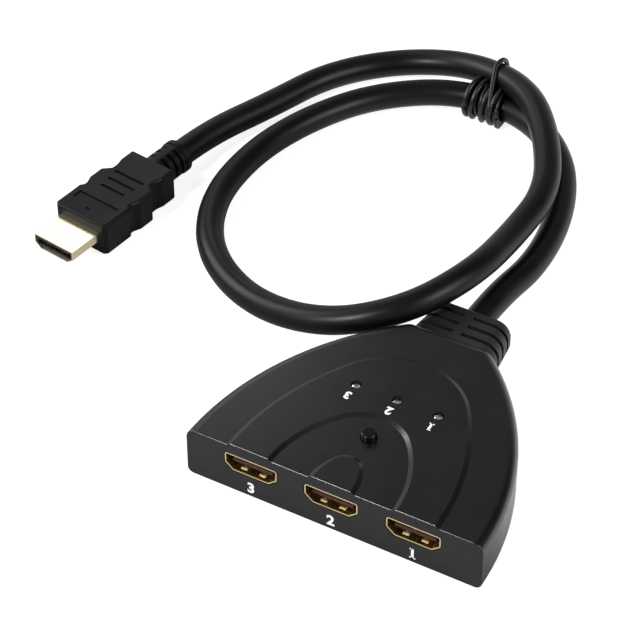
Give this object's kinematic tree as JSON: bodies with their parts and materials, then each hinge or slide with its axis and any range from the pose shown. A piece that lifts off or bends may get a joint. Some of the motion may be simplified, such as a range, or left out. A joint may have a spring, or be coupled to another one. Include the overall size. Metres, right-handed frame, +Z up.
{
  "type": "hdmi switch box",
  "caption": "Flat arch-shaped video switch box with sockets in its front face, a select button, status lights and a short fixed cable with a plug",
  "frame": {"origin": "on the floor, midway across the box and midway from the socket face to the strain relief's tip", "axes": "+X to the right seen from the socket face, +Y from the socket face towards the cable, +Z up"},
  "size_m": [0.1632, 0.1862, 0.03],
  "materials": {
    "housing_plastic": "satin moulded ABS, fine spark texture",
    "button_plastic": "moulded ABS, satin",
    "light_resin": "clear cast epoxy",
    "gold_plate": "thin gold plating over folded steel",
    "insulator_plastic": "glass-filled moulding",
    "board_laminate": "solder-masked glass laminate",
    "switch_plastic": "moulded",
    "contact_steel": "pressed strip, tinned",
    "chip_resin": "moulded epoxy",
    "ceramic": "fired ceramic with tinned ends",
    "screw_steel": "zinc plated",
    "cable_vinyl": "extruded vinyl sheath, soft gloss",
    "plug_vinyl": "moulded vinyl, matt",
    "core_vinyl": "extruded vinyl insulation",
    "tie_vinyl": "vinyl-coated wire"
  },
  "bodies": {
    "box": {"top_cover": "housing_plastic", "bottom_cover": "housing_plastic", "circuit_board": "board_laminate", "select_switch_base": "switch_plastic", "select_switch_cover": "contact_steel", "switch_dome": "contact_steel", "led_1": "light_resin", "led_2": "light_resin", "led_3": "light_resin", "led_leads": "contact_steel", "switch_chip": "chip_resin", "capacitors": "ceramic", "resistors": "chip_resin", "cover_screws": "screw_steel", "strain_relief": "cable_vinyl", "cable_wires": "core_vinyl", "cable": "cable_vinyl", "cable_tie": "tie_vinyl", "plug_overmould": "plug_vinyl", "plug_shell": "gold_plate", "plug_insulator": "insulator_plastic", "plug_contacts": "gold_plate", "port_1_shell": "gold_plate", "port_1_insulator": "insulator_plastic", "port_1_contacts": "gold_plate", "port_2_shell": "gold_plate", "port_2_insulator": "insulator_plastic", "port_2_contacts": "gold_plate", "port_3_shell": "gold_plate", "port_3_insulator": "insulator_plastic", "port_3_contacts": "gold_plate"},
    "button": {"select_button": "button_plastic", "switch_plunger": "switch_plastic"}
  },
  "joints": [
    {"name": "select_press", "type": "slide", "parent": "box", "child": "button", "axis": [0, 0, -1], "range_m": [0, 0.00035], "stiffness_N_per_m": 400, "deforming": ["switch_dome"]}
  ]
}
